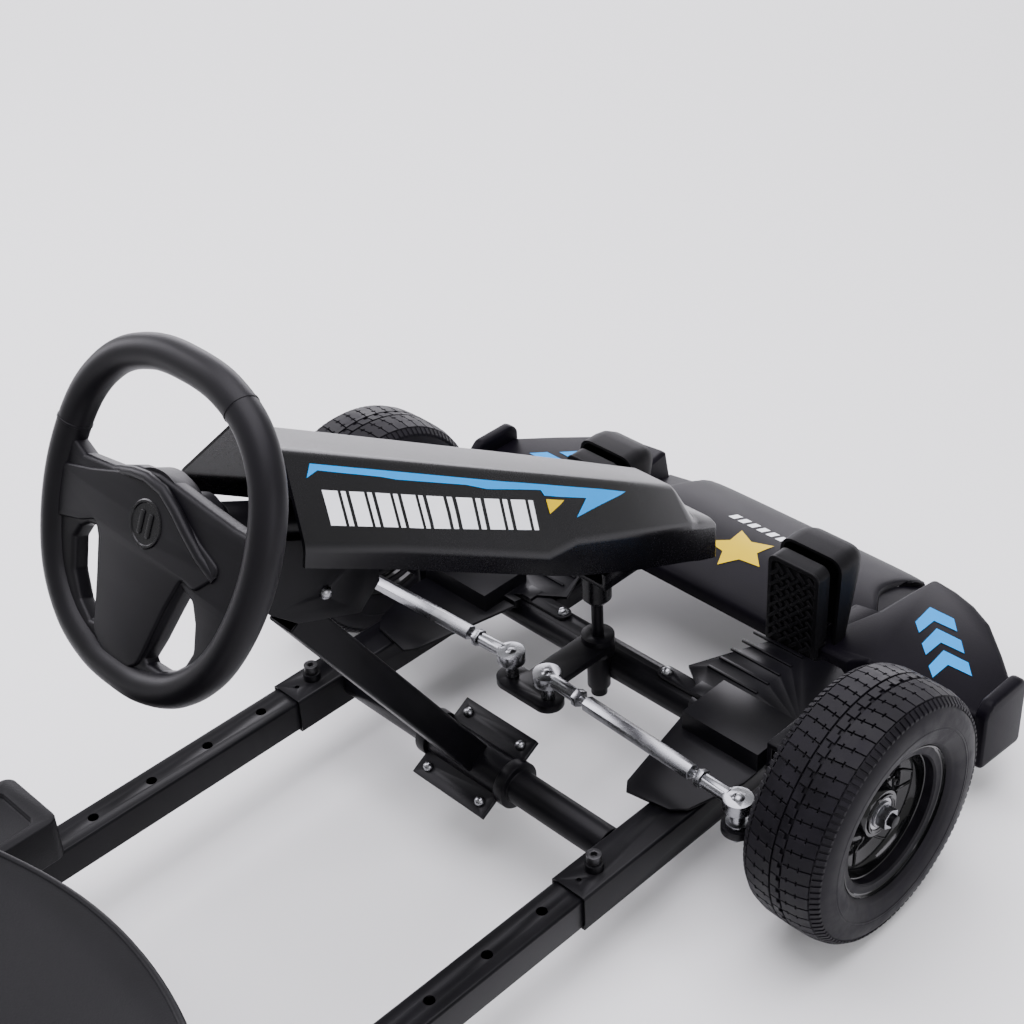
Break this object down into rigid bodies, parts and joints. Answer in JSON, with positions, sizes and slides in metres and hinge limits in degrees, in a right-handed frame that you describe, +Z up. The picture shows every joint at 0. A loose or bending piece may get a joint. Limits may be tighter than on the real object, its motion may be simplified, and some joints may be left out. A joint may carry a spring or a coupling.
{
  "type": "go kart",
  "caption": "Low four-wheeled kart with a sliding ladder frame, tie-rod steering under a sloping bonnet, a nose fairing, foot pedals and a bucket seat.",
  "frame": {"origin": "middle of the footprint, on the ground under the tyres", "axes": "+X to the driver's right, +Y forward towards the nose fairing, +Z up"},
  "size_m": [0.76, 1.386, 0.6476],
  "materials": {
    "black_powder": "satin black powder coat",
    "zinc": "bright zinc plate",
    "steel": "ground steel",
    "black_steel": "black oxide",
    "bush_plastic": "natural bearing plastic",
    "satin_plastic": "satin moulded plastic",
    "grained_plastic": "fine-grained moulded plastic",
    "grip": "soft-touch polyurethane",
    "tyre": "moulded rubber tread",
    "rim": "gloss black paint",
    "winding": "enamelled copper winding"
  },
  "bodies": {
    "front_frame": {"front_beam": "black_powder", "side_sleeves": "black_powder", "kingpin_brackets": "black_powder", "kingpins": "zinc", "cross_tube": "black_powder", "clamp_lower": "black_powder", "clamp_upper": "black_powder", "frame_bolts": "zinc", "steering_post": "black_powder", "column_bracket": "black_powder", "steering_bushes": "bush_plastic", "bonnet": "satin_plastic", "gear_housing": "satin_plastic", "nose_frame": "black_powder", "front_fairing": "grained_plastic", "footplates": "black_powder", "pedal_bases": "grained_plastic", "pedal_pins": "steel", "pedal_springs": "steel", "rail_clamp_screws": "black_steel"},
    "steering_wheel_body": {"steering_wheel": "grip", "wheel_badge": "satin_plastic", "steering_shaft": "steel", "column_gear": "steel"},
    "pitman_body": {"pitman_shaft": "black_powder", "shaft_gear": "steel", "pitman_arm": "black_powder", "pitman_studs": "zinc"},
    "rear_frame": {"rear_rails": "black_powder", "rear_cross_tubes": "black_powder", "rear_axle": "zinc", "axle_clamps": "black_powder", "seat_shell": "grained_plastic", "seat_brackets": "black_powder", "battery_box": "grained_plastic", "side_pods": "grained_plastic", "rear_bumper": "black_powder", "motor_stators": "winding"},
    "tie_rod_left_body": {"tie_rod_left": "zinc", "rod_ends_left": "zinc"},
    "knuckle_left_body": {"knuckle_left": "black_powder", "axle_fittings_left": "zinc"},
    "pedal_left_body": {"pedal_pad_left": "grained_plastic"},
    "front_left_wheel": {"front_left_tyre": "tyre", "front_left_rim": "rim", "front_left_bearings": "steel"},
    "rear_left_wheel": {"rear_left_tyre": "tyre", "rear_left_rim": "rim", "rear_left_bearings": "steel"},
    "tie_rod_right_body": {"tie_rod_right": "zinc", "rod_ends_right": "zinc"},
    "knuckle_right_body": {"knuckle_right": "black_powder", "axle_fittings_right": "zinc"},
    "pedal_right_body": {"pedal_pad_right": "grained_plastic"},
    "front_right_wheel": {"front_right_tyre": "tyre", "front_right_rim": "rim", "front_right_bearings": "steel"},
    "rear_right_wheel": {"rear_right_tyre": "tyre", "rear_right_rim": "rim", "rear_right_bearings": "steel"}
  },
  "joints": [
    {"name": "steer", "type": "hinge", "parent": "front_frame", "child": "steering_wheel_body", "pos_m": [0, -0.145, 0.524], "axis": [0, 0.8988, -0.4384], "range_deg": [-18, 18]},
    {"name": "pitman_turn", "type": "hinge", "parent": "front_frame", "child": "pitman_body", "pos_m": [0, 0.327, 0.125], "axis": [0, 0, 1], "range_deg": [-18.2, 18.2]},
    {"name": "tie_rod_left_turn", "type": "hinge", "parent": "pitman_body", "child": "tie_rod_left_body", "pos_m": [-0.0246, 0.2293, 0.154], "axis": [0, 0, 1], "range_deg": [-19.6, 19.6]},
    {"name": "knuckle_left_turn", "type": "hinge", "parent": "front_frame", "child": "knuckle_left_body", "pos_m": [-0.262, 0.315, 0.127], "axis": [0, 0, 1], "range_deg": [-18.2, 18.2]},
    {"name": "front_left_wheel_spin", "type": "hinge", "parent": "knuckle_left_body", "child": "front_left_wheel", "pos_m": [-0.335, 0.315, 0.127], "axis": [1, 0, 0], "continuous": true},
    {"name": "rear_left_wheel_spin", "type": "hinge", "parent": "rear_frame", "child": "rear_left_wheel", "pos_m": [-0.335, -0.535, 0.127], "axis": [1, 0, 0], "continuous": true},
    {"name": "pedal_left_press", "type": "hinge", "parent": "front_frame", "child": "pedal_left_body", "pos_m": [-0.138, 0.479, 0.125], "axis": [-1, 0, 0], "range_deg": [0, 15], "stiffness_Nm_per_rad": 1.2, "springref_deg": -22.92},
    {"name": "tie_rod_right_turn", "type": "hinge", "parent": "pitman_body", "child": "tie_rod_right_body", "pos_m": [0.0246, 0.2293, 0.154], "axis": [0, 0, 1], "range_deg": [-19.6, 19.6]},
    {"name": "knuckle_right_turn", "type": "hinge", "parent": "front_frame", "child": "knuckle_right_body", "pos_m": [0.262, 0.315, 0.127], "axis": [0, 0, 1], "range_deg": [-18.2, 18.2]},
    {"name": "front_right_wheel_spin", "type": "hinge", "parent": "knuckle_right_body", "child": "front_right_wheel", "pos_m": [0.335, 0.315, 0.127], "axis": [1, 0, 0], "continuous": true},
    {"name": "rear_right_wheel_spin", "type": "hinge", "parent": "rear_frame", "child": "rear_right_wheel", "pos_m": [0.335, -0.535, 0.127], "axis": [1, 0, 0], "continuous": true},
    {"name": "pedal_right_press", "type": "hinge", "parent": "front_frame", "child": "pedal_right_body", "pos_m": [0.138, 0.479, 0.125], "axis": [-1, 0, 0], "range_deg": [0, 15], "stiffness_Nm_per_rad": 1.2, "springref_deg": -22.92},
    {"name": "length_slide", "type": "slide", "parent": "front_frame", "child": "rear_frame", "axis": [0, 1, 0], "range_m": [-0.0668, 0.1336]}
  ],
  "couplings": [
    {"joint": "pitman_turn", "follows": "steer", "ratio": -1},
    {"joint": "knuckle_left_turn", "follows": "steer", "ratio": -1},
    {"joint": "knuckle_right_turn", "follows": "steer", "ratio": -1},
    {"joint": "tie_rod_left_turn", "follows": "steer", "ratio": 1.072},
    {"joint": "tie_rod_right_turn", "follows": "steer", "ratio": 1.072}
  ]
}
